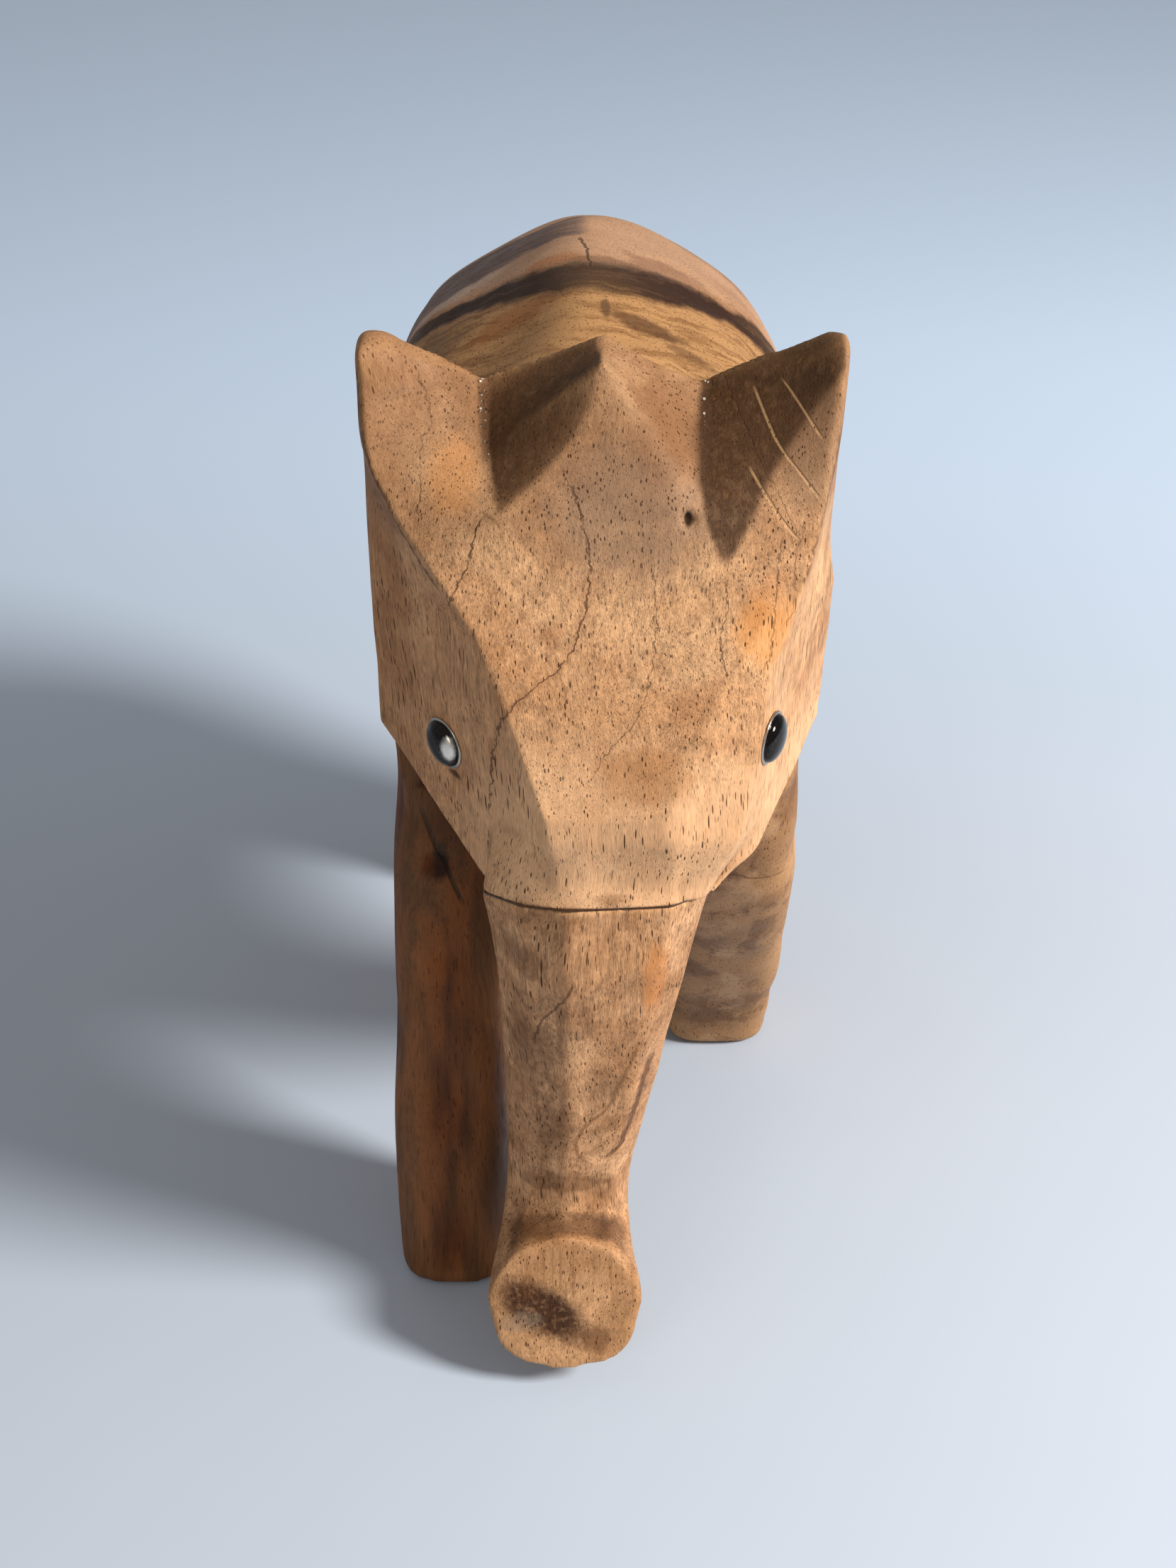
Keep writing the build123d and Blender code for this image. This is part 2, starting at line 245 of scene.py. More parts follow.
class Graph:
    """Builds one material's nodes with short calls."""

    def __init__(self, name):
        self.material = bpy.data.materials.new(name)
        self.material.use_nodes = True
        self.tree = self.material.node_tree
        self.shader = self.tree.nodes["Principled BSDF"]

    def millimetres(self):
        """The object's own place, in millimetres."""
        return self.vector("SCALE", self.node("ShaderNodeTexCoord").outputs["Object"], scale=1 / MM)

    def join(self, value, socket):
        if isinstance(value, bpy.types.NodeSocket):
            self.tree.links.new(value, socket)
        elif value is not None:
            socket.default_value = value

    def node(self, kind, settings=(), inputs=()):
        made = self.tree.nodes.new(kind)
        for key, value in dict(settings).items():
            setattr(made, key, value)
        for key, value in dict(inputs).items():
            self.join(value, made.inputs[key])
        return made

    def math(self, operation, a, b=None, c=None, clamp=False):
        made = self.node("ShaderNodeMath", {"operation": operation, "use_clamp": clamp})
        for value, socket in zip((a, b, c), made.inputs):
            self.join(value, socket)
        return made.outputs[0]

    def vector(self, operation, a, b=None, scale=None):
        made = self.node("ShaderNodeVectorMath", {"operation": operation})
        self.join(a, made.inputs[0])
        self.join(b, made.inputs[1])
        if scale is not None:
            self.join(scale, made.inputs["Scale"])
        return made.outputs["Value" if operation in ("LENGTH", "DISTANCE", "DOT_PRODUCT") else 0]

    def ease(self, value, start, end, low=0.0, high=1.0):
        made = self.node("ShaderNodeMapRange", {"interpolation_type": "SMOOTHSTEP"})
        for name, number in (("Value", value), ("From Min", start), ("From Max", end),
                             ("To Min", low), ("To Max", high)):
            self.join(number, made.inputs[name])
        return made.outputs[0]

    def blend(self, share, a, b, way="MIX"):
        made = self.node("ShaderNodeMix", {"data_type": "RGBA", "blend_type": way})
        self.join(share, made.inputs[0])
        self.join(a, made.inputs[6])
        self.join(b, made.inputs[7])
        return made.outputs[2]

    def stain(self, colour, mask, share, tint):
        """Lays a tint over a colour where the mask is, at the given share."""
        return self.blend(self.math("MULTIPLY", mask, share), colour, tint)

    def most(self, masks):
        """The strongest of several masks."""
        merged = masks[0]
        for mask in masks[1:]:
            merged = self.math("MAXIMUM", merged, mask)
        return merged

    def noise(self, vector, scale, detail=3.0, roughness=0.5, distortion=0.0):
        made = self.node("ShaderNodeTexNoise", {}, {"Vector": vector, "Scale": scale, "Detail": detail,
                                                    "Roughness": roughness, "Distortion": distortion})
        return made.outputs["Fac"]

    def split(self, vector):
        return self.node("ShaderNodeSeparateXYZ", {}, {0: vector}).outputs

    def combine(self, x, y, z):
        return self.node("ShaderNodeCombineXYZ", {}, {0: x, 1: y, 2: z}).outputs[0]

    def stretch(self, vector, x, y, z):
        return self.vector("MULTIPLY", vector, (x, y, z))

    def trail(self, along, across, points, width):
        """A thin wandering line: across follows along through the points, in millimetres."""
        points = sorted(points)
        start, end = points[0][0], points[-1][0]
        low = min(p[1] for p in points) - 1
        high = max(p[1] for p in points) + 1
        made = self.node("ShaderNodeFloatCurve")
        curve = made.mapping.curves[0]
        made.mapping.use_clip = False
        while len(curve.points) < len(points):
            curve.points.new(0.5, 0.5)
        spots = [((p[0] - start) / (end - start), (p[1] - low) / (high - low)) for p in points]
        for spot, handle in zip(spots, curve.points):
            handle.location = spot
        made.mapping.update()
        share = self.math("DIVIDE", self.math("SUBTRACT", along, start), end - start, clamp=True)
        self.join(share, made.inputs["Value"])
        course = self.math("MULTIPLY_ADD", made.outputs[0], high - low, low)
        away = self.math("ABSOLUTE", self.math("SUBTRACT", across, course))
        line = self.ease(away, width, 0.25 * width)
        fade = 0.12 * (end - start)
        rising = self.ease(along, start, start + fade)
        falling = self.ease(along, end, end - fade)
        return self.math("MULTIPLY", line, self.math("MULTIPLY", rising, falling))

    def spot(self, place, centre, size, rough=0.35):
        """A soft-edged blotch about a centre, with its half size along X, Y and Z."""
        offset = self.vector("DIVIDE", self.vector("SUBTRACT", place, centre), size)
        away = self.vector("LENGTH", offset)
        uneven = self.math("MULTIPLY_ADD", self.noise(place, 0.22, 4.0, 0.6), 2 * rough, -rough)
        return self.ease(self.math("ADD", away, uneven), 1.0, 0.45)

    def blotches(self, colour, place, zone, rows):
        """Stains a zone with ragged blotches: centre, half size, share and tint of each."""
        for centre, size, share, tint in rows:
            patch = self.math("MULTIPLY", self.spot(place, centre, size, 0.7), zone)
            colour = self.stain(colour, patch, share, paint(*tint))
        return colour


def wood(name, light, dark, pore, pith, features=None, pore_depth=1.0, figured=0.5):
    """Oiled open-pored wood. The grain runs along Z: ring bands about a pith, fine fibres,
    and vessels that show as dashes on slopes and as long streaks on upright faces."""
    g = Graph(name)
    place = g.vector("SUBTRACT", g.millimetres(), (0, TOE, 0))
    sway = g.node("ShaderNodeTexNoise", {}, {"Vector": place, "Scale": 0.018, "Detail": 2.0})
    drift = g.vector("SCALE", g.vector("SUBTRACT", sway.outputs["Color"], (0.5, 0.5, 0.5)), scale=9.0)
    bent = g.vector("ADD", place, drift)
    x, y, z = g.split(place)
    bx, by, bz = g.split(bent)

    # Growth rings: distance from the pith, read as soft bands and a few thin dark lines.
    lean = g.math("MULTIPLY", bz, 0.12)
    reach = g.vector("LENGTH", g.combine(g.math("SUBTRACT", bx, pith[0]),
                                         g.math("SUBTRACT", g.math("ADD", by, lean), pith[1]), 0.0))
    bands = g.noise(g.combine(reach, 3.0, 0.0), 0.5, 3.0, 0.6)
    wide_bands = g.noise(g.combine(reach, 9.0, g.math("MULTIPLY", z, 0.01)), 0.085, 2.0, 0.5)
    ring = g.math("PINGPONG", g.math("ADD", reach, g.math("MULTIPLY", g.noise(place, 0.03), 9.0)), 9.5)
    ring_line = g.ease(ring, 0.3, 0.06)
    broken = g.ease(g.noise(place, 0.045, 2.0), 0.5, 0.62)
    ring_line = g.math("MULTIPLY", ring_line, broken)

    # Fibres and mottling.
    fibre = g.noise(g.stretch(bent, 1.0, 1.0, 0.04), 1.7, 5.0, 0.66)
    hair = g.noise(g.stretch(bent, 1.0, 1.0, 0.09), 5.5, 2.0, 0.6)
    figure = g.noise(g.stretch(bent, 1.0, 1.0, 0.22), 0.11, 4.0, 0.6, 1.2)
    cloud = g.noise(place, 0.05, 5.0, 0.62, 0.6)
    mottle = g.noise(g.stretch(place, 1.0, 1.0, 0.6), 0.32, 4.0, 0.65, 0.4)

    # Vessels: narrow tubes along the grain, cut open at the surface.
    tube = g.node("ShaderNodeTexVoronoi", {"feature": "F1"},
                  {"Vector": g.stretch(bent, 1.0, 1.0, 0.08), "Scale": 1.4, "Randomness": 1.0})
    lot = g.split(tube.outputs["Color"])[0]
    bore = g.math("MULTIPLY_ADD", lot, 0.14, 0.12)
    pores = g.ease(g.math("DIVIDE", tube.outputs["Distance"], bore), 1.15, 0.75)
    fine = g.node("ShaderNodeTexVoronoi", {"feature": "F1"},
                  {"Vector": g.stretch(bent, 1.0, 1.0, 0.06), "Scale": 2.5, "Randomness": 1.0})
    specks = g.ease(fine.outputs["Distance"], 0.24, 0.12)
    pore_zone = g.ease(g.noise(place, 0.05, 2.0), 0.3, 0.6, 0.45, 1.0)

    colour = g.blend(g.ease(cloud, 0.32, 0.72), light, dark)
    colour = g.blend(g.ease(wide_bands, 0.42, 0.68, 0.0, 0.5), colour, dark)
    colour = g.blend(g.ease(figure, 0.52, 0.74, 0.0, figured), colour, dark)
    tone = g.math("ADD", g.ease(fibre, 0.3, 0.7, -0.24, 0.2), g.ease(bands, 0.25, 0.75, -0.12, 0.1))
    tone = g.math("ADD", tone, g.ease(hair, 0.3, 0.7, -0.24, 0.2))
    tone = g.math("ADD", tone, g.ease(mottle, 0.3, 0.7, -0.18, 0.14))
    shade = g.math("ADD", tone, 1.0)
    colour = g.blend(1.0, colour, g.combine(shade, shade, shade), "MULTIPLY")
    colour = g.stain(colour, ring_line, 0.5, pore)

    height = g.math("ADD", g.math("MULTIPLY", fibre, 0.12), g.math("MULTIPLY", hair, 0.07))
    height = g.math("SUBTRACT", height, g.math("MULTIPLY", ring_line, 0.05))
    gloss = 0.0
    if features:
        colour, height, gloss = features(g, place, (x, y, z), colour, height)

    colour = g.stain(colour, g.math("MULTIPLY", pores, pore_zone), 0.95, pore)
    colour = g.stain(colour, specks, 0.62, pore)

    # Dirt and old oil sit in the hollows; hands have kept the ridges a little paler.
    hollow = g.node("ShaderNodeAttribute", {"attribute_name": "hollow"}).outputs["Fac"]
    grime = g.math("MULTIPLY", g.ease(hollow, 0.08, 0.7), g.ease(cloud, 0.2, 0.6, 0.6, 1.0))
    colour = g.stain(colour, grime, 0.6, paint(52, 31, 16))
    worn = g.math("MULTIPLY", g.ease(hollow, -0.1, -0.8), g.ease(fibre, 0.3, 0.7, 0.5, 1.0))
    colour = g.stain(colour, worn, 0.12, paint(214, 166, 116))

    height = g.math("SUBTRACT", height, g.math("MULTIPLY", pores, 0.13 * pore_depth))
    height = g.math("SUBTRACT", height, g.math("MULTIPLY", specks, 0.04 * pore_depth))
    bump = g.node("ShaderNodeBump", {}, {"Strength": 0.8, "Distance": MM * 1.4, "Height": height})
    rough = g.math("ADD", g.ease(g.noise(place, 0.2, 4.0), 0.3, 0.7, 0.46, 0.6),
                   g.math("MULTIPLY", g.math("MAXIMUM", pores, grime), 0.25))
    rough = g.math("SUBTRACT", rough, gloss, clamp=True)
    g.join(colour, g.shader.inputs["Base Color"])
    g.join(rough, g.shader.inputs["Roughness"])
    g.join(bump.outputs[0], g.shader.inputs["Normal"])
    g.shader.inputs["Specular IOR Level"].default_value = 0.13
    return g.material


# --- head ---------------------------------------------------------------------------
def head_features(g, place, xyz, colour, height):
    """Marks on the face and ears: films and stains, painted shade on the left of the dome, inside the
    right ear and on the left cheek, ring cracks, knife grooves, scorched edges, glue in the valley
    corners, a knot hole and a chip."""
    x, y, z = xyz
    swayed = g.math("ADD", x, g.math("MULTIPLY_ADD", g.noise(place, 0.6, 4.0), 2.4, -1.2))

    # A grey film of age over the dome and the upper face, warmer wood toward the nose.
    uneven = g.math("MULTIPLY_ADD", g.noise(place, 0.07, 4.0, 0.6), 26.0, -13.0)
    upper = g.ease(g.math("ADD", z, uneven), 188.0, 224.0)
    colour = g.stain(colour, upper, 0.6, paint(114, 82, 56))
    for centre, size, rough, share, tint in (
            ((6, -5, 210), (20, 16, 17), 0.4, 0.5, (122, 98, 80)),      # the ashen forehead
            ((40, 4, 222), (9, 14, 22), 0.35, 0.5, (116, 88, 66)),      # outside of the right ear
            ((31, -13, 191), (8, 12, 9), 0.4, 0.55, (206, 138, 74)),    # orange over the right eye
            ((13, 4, 224), (10, 14, 14), 0.4, 0.55, (112, 74, 44)),     # right side of the dome
            ((-27, 2, 215), (6, 12, 9), 0.5, 0.35, (200, 136, 76))):    # orange in the left ear
        colour = g.stain(colour, g.spot(place, centre, size, rough), share, paint(*tint))
    nose = g.ease(g.math("ADD", z, uneven), 178.0, 156.0)
    nose = g.math("MULTIPLY", nose, g.ease(g.math("ADD", x, g.math("MULTIPLY", y, 0.5)), -31.0, -27.0))
    colour = g.stain(colour, nose, 0.4, paint(232, 184, 140))
    blotch = g.spot(place, (9, -24, 166), (11, 10, 7), 0.6)
    colour = g.stain(colour, blotch, 0.4, paint(146, 92, 46))
    stain_left = g.spot(place, (-9, -13.6, 190), (3.4, 6, 3.4), 0.7)
    colour = g.stain(colour, stain_left, 0.4, paint(132, 84, 54))

    # Painted shade: the left side of the dome and the scooped right ear are painted dark where shade
    # falls on them, broken by paler streaks.
    shade_wall = g.node("ShaderNodeAttribute", {"attribute_name": "shade_wall"}).outputs["Fac"]
    streaks = g.noise(g.stretch(place, 1.0, 1.0, 0.12), 0.5, 5.0, 0.65)
    shade_wall = g.math("MULTIPLY", shade_wall, g.ease(streaks, 0.3, 0.62, 0.8, 1.0))
    colour = g.stain(colour, shade_wall, g.ease(x, 0, 14, 0.9, 0.97), paint(58, 36, 17))
    paler_streaks_in_shade = g.math("MULTIPLY", shade_wall, g.ease(streaks, 0.56, 0.74))
    colour = g.stain(colour, paler_streaks_in_shade, 0.4, paint(128, 88, 52))
    # Painted shade: the left cheek is painted a darker, warmer brown, for the shade on that side.
    left_cheek_shade = g.ease(g.math("ADD", x, g.math("MULTIPLY", y, -0.8)), -35.0, -42.0)
    colour = g.stain(colour, left_cheek_shade, 0.35, paint(120, 76, 42))

    # Growth rings surface as thin lines; the long one runs from the dome to the left cheek,
    # with a faint brown tide mark along it.
    long_ring = ((144, -21.4), (152, -21.2), (159, -20.7), (165, -20.2), (170.4, -19.2), (175.7, -17.8),
                 (181.8, -11.8), (186.1, -6.5), (192.7, -3.2), (197.5, -2.2), (203.5, -1.7),
                 (209.5, -3), (216.6, -5.8), (221.3, -8.4))
    lines = []
    for points, width, share in (
            (long_ring, 0.3, 0.75),
            (((193.9, -28.1), (198, -26.6), (202.3, -24.3), (207.8, -22.6), (211.3, -20.2)), 0.3, 0.8),
            (((206.2, -34), (213.6, -33), (220.7, -32.8), (222.8, -31.2), (227.2, -32.2),
              (232.7, -34.8)), 0.24, 0.45),
            (((205.9, 37.1), (211.8, 33.7), (221.3, 27.7), (230.6, 22.4)), 0.26, 0.4),
            (((181.8, 26.4), (184.2, 23.7), (190.3, 22.3), (195.1, 23.6), (201, 23.4)), 0.26, 0.55),
            (((182.0, 28.6), (185.4, 31.6), (193.9, 32.4), (202.3, 33.2), (211.8, 34.4)), 0.26, 0.5),
            (((190, 34.5), (196, 36.2), (203, 36.4), (210, 38.5)), 0.22, 0.45),
            (((163.3, -2.6), (167, -0.6), (172, 3.4), (176.9, 7.3), (183, 9.3), (190.3, 10.5),
              (196.3, 10.5), (204.7, 9.1)), 0.2, 0.6)):
        lines.append(g.math("MULTIPLY", g.trail(z, swayed, points, width), share))
    broken = g.ease(g.noise(place, 0.5, 3.0), 0.3, 0.55, 0.35, 1.0)
    cracks = g.math("MULTIPLY", g.most(lines), broken)
    tide = g.trail(z, swayed, long_ring[2:11], 1.6)
    colour = g.stain(colour, tide, 0.2, paint(120, 70, 40))

    # Knife grooves across the right ear catch the light.
    grooves = g.most([g.trail(z, x, points, 0.5) for points in (
        ((211.6, 41.4), (216.2, 37.2), (220.6, 33.1), (224.4, 30.9), (228.9, 28.6)),
        ((221.6, 41.3), (226.3, 37.5), (230.4, 33.8)),
        ((205.6, 37.2), (209.1, 33.9), (212.6, 31.1), (217.5, 27.5)))])
    colour = g.stain(colour, grooves, 0.4, paint(190, 150, 104))
    height = g.math("SUBTRACT", height, g.math("MULTIPLY", grooves, 0.16))

    # Scorched edges where the ears meet the cheeks.
    edges = g.math("MAXIMUM",
                   g.trail(z, swayed, ((194.9, -27.2), (201.7, -33.6), (211, -39.4), (221.9, -43.7),
                                       (235, -44.5)), 0.75),
                   g.trail(z, swayed, ((197, 38.2), (200.7, 38.9), (210.3, 41.9), (217.3, 43.8),
                                       (224, 45)), 0.75))
    edges = g.math("MULTIPLY", edges, g.ease(g.noise(place, 0.7, 3.0), 0.35, 0.55, 0.3, 1.0))
    colour = g.stain(colour, edges, 0.7, paint(66, 32, 18))

    # Glue squeezed out of the neck joint has dried in shiny grains down both creases.
    grains = g.node("ShaderNodeTexVoronoi", {"feature": "F1"}, {"Vector": place, "Scale": 1.1}).outputs
    grains = g.math("MULTIPLY", g.ease(grains["Distance"], 0.42, 0.26),
                    g.ease(g.split(grains["Color"])[0], 0.55, 0.62))
    corner = g.math("MAXIMUM",
                    g.trail(z, x, ((217, -20.9), (220.1, -21.3), (223.6, -21.8), (229, -22.4)), 1.0),
                    g.trail(z, x, ((220, 19.0), (221.8, 19.2), (225.3, 19.7), (229, 20.6)), 0.7))
    grains = g.math("MULTIPLY", grains, corner)
    colour = g.stain(colour, corner, 0.4, paint(70, 44, 24))
    colour = g.stain(colour, grains, 0.8, paint(214, 204, 190))
    height = g.math("ADD", height, g.math("MULTIPLY", grains, 0.3))

    # A stain at the trunk's joint, a knot hole in the forehead and a chip at the left jaw.
    glue_stain = g.spot(place, (3, -30, 138.5), (5, 5, 3), 0.5)
    colour = g.stain(colour, glue_stain, 0.6, paint(96, 58, 30))
    hole = g.spot(place, (16.4, -6.0, 210.2), (1.0, 3, 1.9), 0.3)
    colour = g.blend(hole, colour, paint(16, 10, 7))
    chip = g.spot(place, (-28.8, -4.2, 152.7), (2.8, 3, 1.2), 0.4)
    colour = g.stain(colour, chip, 0.8, paint(60, 34, 20))
    colour = g.blend(cracks, colour, CRACK)
    height = g.math("SUBTRACT", height, g.math("MULTIPLY", cracks, 0.14))
    return colour, height, g.math("MULTIPLY", grains, 0.35)


def make_head():
    piece = dense_copy("head", "head_carving", 0.62 * MM)
    mesh = piece.data
    points, edges = read_points(mesh), read_edges(mesh)
    place = points - (0, TOE, 0)
    x, y, height = place.T
    side = np.abs(x)
    joint_near = 1 - step(np.abs(y - HEAD_BACK), 0.3, 3)
    seam_near = 1 - step(seam_height(points), 0.4, 4)
    weight = 0.5 * (1 - np.maximum(joint_near * 0.8, seam_near))
    points = relax(points, edges, weight, 3)
    points = even_seam(points, edges, 8)
    tips = step(side, 30, 37) * step(height, 220, 231)
    dome_top = (1 - step(side, 14, 20)) * step(height, 227, 234) * step(y, 7, 12)
    flanks = step(side, 42, 44.5) * step(height, 185, 195)
    points = relax(points, edges, 0.5 * np.maximum(np.maximum(0.5 * tips, 0.2 * dome_top), flanks), 50)
    # The ears fade into the face, and the dome's right side rolls over without an edge.
    fade = step(side, 12, 22) * step(height, 176, 188) * (1 - step(height, 203, 211))
    fade *= 1 - step(side - np.interp(height, (190, 203, 211), (23, 32, 37)), -4, -1)
    right_roll = step(x, 1, 8) * (1 - step(x, 17, 22)) * step(height, 200, 212)
    points = relax(points, edges, 0.5 * np.maximum(fade, right_roll), 60)
    write_points(mesh, points)
    normals = read_normals(mesh)
    quiet = (1 - joint_near) * (1 - seam_near)
    points = points + normals * (quiet * ripple(place, SEED, 38, 12, 0.12))[:, None]
    points = dent(points, normals, (16.6, TOE - 6.0, 210.2), 1.3, 1.6)
    points = dent(points, normals, (-28.8, TOE - 4.2, 152.7), 2.2, 0.5)
    points = keep_inside(flush_with_trunk(points), "head")
    write_points(mesh, points)
    # Painted shade: the mask marks where the dome faces left, and the right ear inside up to a slanting
    # edge, the places to be painted dark as shade.
    smooth = relax(normals, edges, np.full(len(points), 0.5), 4)
    dome = step(-smooth[:, 0], 0.26, 0.4) * step(height, 203, 211)
    dome *= (x > -23.5) & (x < 6) & (y > -9)
    crease = np.interp(height, (203, 209, 215, 222, 232), (22, 19, 17.4, 17.6, 19))
    slant = np.interp(height, (201, 204, 209, 215, 221, 228, 234), (22.5, 26, 29, 32.5, 37, 42, 46.5))
    ear = step(x - crease, 0, 1.5) * step(slant - x, 0, 2.2) * step(height, 200, 205)
    store(mesh, "shade_wall", np.maximum(dome, ear))
    mark_hollows(mesh, points, edges, 60)
    material = wood("head_wood", paint(200, 156, 115), paint(164, 117, 79), PORE, (10, 62),
                    head_features)
    finish_wood(piece, "head", material)


# --- trunk --------------------------------------------------------------------------
def trunk_features(g, place, xyz, colour, height):
    """The left facet is painted greyer, a painted shade, and is stained; the right one is pale with an
    orange patch and long streaks; a dark line of painted shade runs round the crease behind the cut end."""
    x, y, z = xyz
    mid = g.math("MULTIPLY_ADD", z, 0.012, -8.0)
    # Painted shade: the left facet is painted greyer and darker, for the shade on that side.
    left = g.ease(g.math("SUBTRACT", x, mid), 1.2, -1.2)
    colour = g.stain(colour, left, 0.18, paint(134, 100, 68))
    patch = g.spot(place, (11.5, -25, 117), (3.4, 9, 13), 0.3)
    colour = g.stain(colour, patch, 0.6, paint(190, 122, 66))
    sway_x = g.math("ADD", x, g.math("MULTIPLY_ADD", g.noise(place, 0.35, 3.0), 2.0, -1.0))
    streak = g.trail(z, sway_x, ((56, -4), (60.5, 4.3), (70.7, 7.6), (80, 9.5), (92, 11.5)), 1.3)
    inner = g.trail(z, sway_x, ((55, -1), (57, -2.5), (62.5, -4.6), (68, -3.6), (76.8, 2.2), (91, 6.8),
                                (100, 9)), 0.8)
    colour = g.stain(colour, streak, 0.8, paint(84, 48, 24))
    colour = g.stain(colour, inner, 0.5, paint(104, 64, 34))
    fine = g.trail(z, sway_x, ((96, -13.5), (103, -12.1), (111, -8.2), (113.9, -6.2), (120, -4.6)), 0.5)
    colour = g.stain(colour, fine, 0.7, CRACK)
    crest = g.math("MULTIPLY", g.ease(g.math("ABSOLUTE", g.math("SUBTRACT", x, mid)), 2.2, 0.4),
                   g.ease(z, 48, 60))
    colour = g.stain(colour, crest, 0.3, paint(110, 70, 40))
    swirl = g.noise(g.stretch(place, 1.0, 1.0, 0.55), 0.13, 3.0, 0.55, 1.6)
    swirl = g.ease(g.math("ABSOLUTE", g.math("SUBTRACT", swirl, 0.5)), 0.05, 0.01)
    colour = g.stain(colour, g.math("MULTIPLY", swirl, left), 0.35, paint(104, 68, 40))
    for centre, size, share in (
            ((-15, -20, 122), (8, 12, 6), 0.45), ((-13, -18, 95), (8, 12, 13), 0.5),
            ((-9, -18, 70), (7, 9, 10), 0.4), ((-4, -24, 106), (5, 9, 8), 0.4),
            ((1, -20, 84), (5, 9, 10), 0.3), ((-8, -16, 50), (14, 8, 4.5), 0.55),
            ((6, -18, 46), (9, 8, 4), 0.4)):
        blotch = g.spot(place, centre, size, 0.7)
        colour = g.stain(colour, blotch, share, paint(92, 58, 32))
    sway_z = g.math("ADD", z, g.math("MULTIPLY_ADD", g.noise(place, 0.3, 3.0), 2.0, -1.0))
    # Painted shade: a dark line is painted along the crease behind the cut end, with a darker spot at its
    # middle, for the shade in the fold.
    crease = g.trail(x, sway_z, ((-23, 31), (-19.3, 34.6), (-9.9, 38.8), (1.3, 37.4), (6.1, 33.4),
                                 (9, 29)), 2.0)
    crease = g.math("MULTIPLY", crease, g.math("MULTIPLY", g.ease(y, -20.5, -18.5), g.ease(y, -8, -14)))
    colour = g.stain(colour, crease, 0.7, paint(70, 42, 22))
    crease_shade_spot = g.math("MULTIPLY", g.spot(place, (2, -17, 38.5), (5, 5, 3), 0.7), g.ease(y, -20.5, -18.5))
    colour = g.stain(colour, crease_shade_spot, 0.7, paint(62, 36, 18))

    # The cut end is paler, with a dark bruise left of its middle, stains below, saw marks above.
    end = g.math("MULTIPLY", g.ease(y, -17.5, -20.5), g.ease(z, 38, 35))
    colour = g.stain(colour, end, 0.35, paint(176, 134, 94))
    cosine, sine = 0.84, 0.54
    aside, upward = g.math("ADD", x, 12.5), g.math("ADD", z, -21.5)
    turn_x = g.math("ADD", g.math("MULTIPLY", aside, cosine), g.math("MULTIPLY", upward, -sine))
    turn_z = g.math("ADD", g.math("MULTIPLY", aside, sine), g.math("MULTIPLY", upward, cosine))
    ragged = g.math("MULTIPLY_ADD", g.noise(place, 0.5, 5.0, 0.7), 3.4, -1.7)
    bruise = g.vector("LENGTH", g.combine(g.math("MULTIPLY", turn_x, 0.072),
                                          g.math("MULTIPLY", g.math("ADD", turn_z, ragged), 0.155), 0.0))
    bruise = g.math("MULTIPLY", g.ease(bruise, 1.1, 0.5), end)
    colour = g.stain(colour, bruise, g.ease(g.noise(place, 0.7, 4.0), 0.25, 0.55, 0.6, 0.95),
                     paint(54, 29, 15))
    tail = g.math("MULTIPLY", g.spot(place, (-1, -29, 15), (6.5, 12, 4.6), 0.9), end)
    colour = g.stain(colour, tail, 0.6, paint(92, 56, 30))
    ashy = g.math("MULTIPLY", g.spot(place, (-17, -27, 19), (6, 12, 3.4), 0.7), end)
    colour = g.stain(colour, ashy, 0.5, paint(130, 110, 92))
    saw = g.noise(g.combine(g.math("MULTIPLY", x, 1.3), 0.0, g.math("MULTIPLY", z, 0.07)), 0.8, 4.0, 0.65)
    saw = g.math("MULTIPLY", g.ease(saw, 0.45, 0.66), g.math("MULTIPLY", end, g.ease(z, 22, 26)))
    colour = g.stain(colour, saw, 0.5, paint(116, 74, 42))
    grit = g.math("MULTIPLY", g.ease(g.noise(place, 1.1, 4.0, 0.7), 0.5, 0.7), bruise)
    height = g.math("SUBTRACT", height, g.math("MULTIPLY", grit, 0.3))
    height = g.math("SUBTRACT", height, g.math("MULTIPLY", g.math("MAXIMUM", streak, crease), 0.15))
    return colour, height, 0.0


def make_trunk():
    piece = dense_copy("trunk", "trunk_carving", 0.5 * MM)
    mesh = piece.data
    points, edges = read_points(mesh), read_edges(mesh)
    place = points - (0, TOE, 0)
    seam_near = 1 - step(-seam_height(points), 0.6, 4)
    points = relax(points, edges, 0.5 * (1 - seam_near), 7)
    points = even_seam(points, edges, 8)
    rim = (1 - step(place[:, 2], 42, 46)) * (1 - step(place[:, 1], -16, -10))
    points = relax(points, edges, 0.5 * rim, 5)
    lower_rim = (1 - step(place[:, 2], 14, 24)) * (1 - step(place[:, 1], -20, -12))
    points = relax(points, edges, 0.5 * lower_rim, 45)
    write_points(mesh, points)
    normals = read_normals(mesh)
    points = points + normals * ((1 - seam_near) * ripple(place, SEED + 1, 30, 9, 0.1))[:, None]
    points = dent(points, normals, (-11, TOE - 26, 20), 5.0, 0.9)
    points = dent(points, normals, (-3, TOE - 27, 14), 6.0, 0.5)
    points = keep_inside(points, "trunk")
    write_points(mesh, points)
    mark_hollows(mesh, points, edges, 50)
    material = wood("trunk_wood", paint(216, 166, 122), paint(156, 110, 72), PORE, (-30, 40),
                    trunk_features, 0.8, 0.6)
    finish_wood(piece, "trunk", material)


